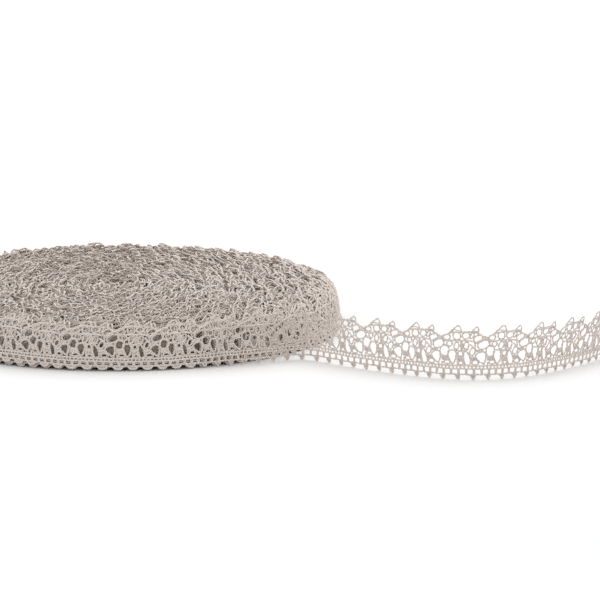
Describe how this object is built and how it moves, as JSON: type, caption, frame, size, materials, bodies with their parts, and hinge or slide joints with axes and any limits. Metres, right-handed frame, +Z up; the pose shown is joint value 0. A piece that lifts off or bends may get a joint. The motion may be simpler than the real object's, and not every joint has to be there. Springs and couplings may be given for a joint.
{
  "type": "roll of lace trim",
  "caption": "Flat roll of narrow cotton lace edging, wound on itself with the scalloped picot edge up, its loose end standing in an S-bend beside it.",
  "frame": {"origin": "centre of the roll's flat underside, on the surface that it rests on", "axes": "+Z up along the roll's winding axis; +X to the right, the way that the loose end runs; -Y towards the front, where the loose end leaves the roll"},
  "size_m": [0.207, 0.1384, 0.015],
  "materials": {
    "wound_lace": "matt cotton yarn, warm grey-beige, dense turns with dark gaps",
    "loose_lace": "matt cotton yarn, warm grey-beige, open single layer"
  },
  "bodies": {
    "root": {"wound_roll": "wound_lace", "loose_end": "loose_lace"}
  },
  "joints": []
}
